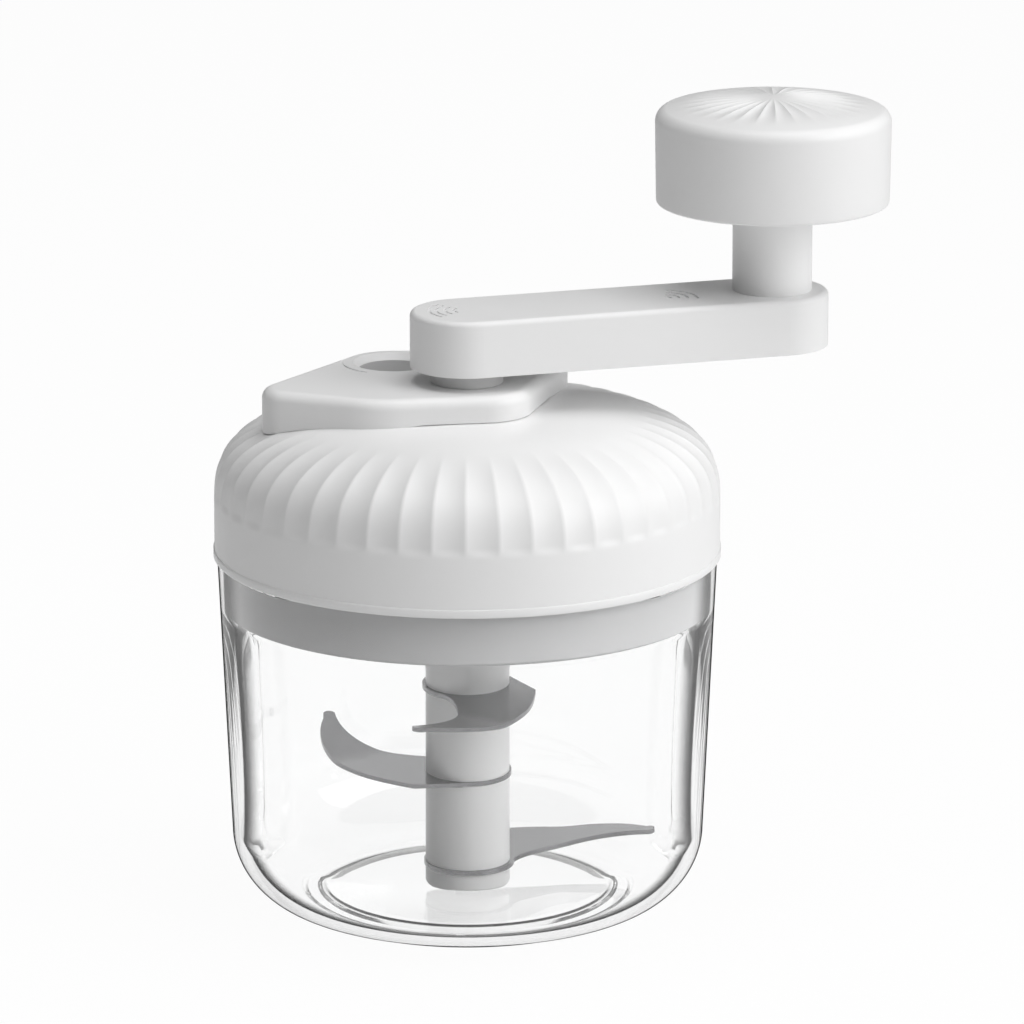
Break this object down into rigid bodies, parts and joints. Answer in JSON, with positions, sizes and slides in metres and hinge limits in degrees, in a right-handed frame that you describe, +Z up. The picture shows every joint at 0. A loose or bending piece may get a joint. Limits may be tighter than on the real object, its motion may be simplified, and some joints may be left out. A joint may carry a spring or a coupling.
{
  "type": "manual food chopper",
  "caption": "Hand-cranked food chopper: clear bowl, fluted lid with planetary gears, crank arm with a palm knob, feed hole and a stacked three-blade unit.",
  "frame": {"origin": "centre of the bowl's foot, on the plane it stands on, on the main axis", "axes": "+Z up the main axis through bowl, blade hub, gears and crank shaft; +X to the right, with the crank arm 17.4 degrees from +X towards +Y"},
  "size_m": [0.161, 0.1206, 0.1915],
  "materials": {
    "clear_bowl": "clear, polished",
    "white_shell": "satin-gloss moulded white",
    "grey_cover": "satin-gloss moulded grey",
    "white_hub": "satin moulded white",
    "shaft_grey": "glass-filled nylon, grey",
    "blade_steel": "polished stainless with ground edges",
    "bright_steel": "bright zinc-plated steel",
    "gear_acetal": "natural acetal",
    "bush_acetal": "natural acetal, plain",
    "seal_silicone": "matte silicone"
  },
  "bodies": {
    "bowl": {"bowl": "clear_bowl", "bowl_spindle": "bright_steel"},
    "lid": {"lid_shell": "white_shell", "rim_gasket": "seal_silicone", "top_housing": "white_shell", "housing_screws": "bright_steel", "feed_chute": "white_shell", "inner_cover": "grey_cover", "cover_screws": "bright_steel", "gear_tray": "gear_acetal", "tray_screws": "bright_steel", "planet_pins": "bright_steel", "planet_clips": "bright_steel", "lower_bush": "bush_acetal", "crank_bush": "bush_acetal"},
    "crank": {"crank_shaft": "shaft_grey", "shaft_clip": "bright_steel", "ring_gear": "gear_acetal", "crank_screw": "bright_steel", "crank_arm": "white_shell", "arm_cover": "white_shell", "arm_cover_screws": "bright_steel", "knob_axle": "bright_steel", "knob_post": "white_shell", "knob_washer": "bright_steel", "knob_screw": "bright_steel"},
    "knob": {"knob_bush": "bush_acetal", "knob_shell": "white_shell", "knob_base_plate": "white_shell", "knob_plate_screws": "bright_steel"},
    "planet_1": {"planet_gear_1": "gear_acetal"},
    "planet_2": {"planet_gear_2": "gear_acetal"},
    "planet_3": {"planet_gear_3": "gear_acetal"},
    "drive": {"sun_gear": "gear_acetal", "drive_shaft": "bright_steel", "drive_dog": "gear_acetal"},
    "blade_unit": {"blade_hub": "white_hub", "hub_bush": "bush_acetal", "hub_spacer_lower": "white_hub", "hub_spacer_upper": "white_hub", "hub_end_cap": "white_hub", "blade_bottom": "blade_steel", "blade_middle": "blade_steel", "blade_top": "blade_steel"}
  },
  "joints": [
    {"name": "lid_lift", "type": "slide", "parent": "bowl", "child": "lid", "axis": [0, 0, 1], "range_m": [0, 0.12]},
    {"name": "crank_turn", "type": "hinge", "parent": "lid", "child": "crank", "pos_m": [0, 0, 0.1278], "axis": [0, 0, 1], "continuous": true},
    {"name": "knob_spin", "type": "hinge", "parent": "crank", "child": "knob", "pos_m": [0.07262, 0.02276, 0.1661], "axis": [0, 0, 1], "continuous": true},
    {"name": "planet_1_spin", "type": "hinge", "parent": "lid", "child": "planet_1", "pos_m": [0.0096, 0, 0.0835], "axis": [0, 0, 1], "continuous": true},
    {"name": "planet_2_spin", "type": "hinge", "parent": "lid", "child": "planet_2", "pos_m": [-0.0048, 0.00831, 0.0835], "axis": [0, 0, 1], "continuous": true},
    {"name": "planet_3_spin", "type": "hinge", "parent": "lid", "child": "planet_3", "pos_m": [-0.0048, -0.00831, 0.0835], "axis": [0, 0, 1], "continuous": true},
    {"name": "drive_spin", "type": "hinge", "parent": "lid", "child": "drive", "pos_m": [0, 0, 0.0798], "axis": [0, 0, 1], "continuous": true},
    {"name": "blade_spin", "type": "hinge", "parent": "bowl", "child": "blade_unit", "pos_m": [0, 0, 0.0059], "axis": [0, 0, 1], "continuous": true}
  ],
  "couplings": [
    {"joint": "planet_1_spin", "follows": "crank_turn", "ratio": 3},
    {"joint": "planet_2_spin", "follows": "crank_turn", "ratio": 3},
    {"joint": "planet_3_spin", "follows": "crank_turn", "ratio": 3},
    {"joint": "drive_spin", "follows": "crank_turn", "ratio": -3},
    {"joint": "blade_spin", "follows": "crank_turn", "ratio": -3}
  ]
}
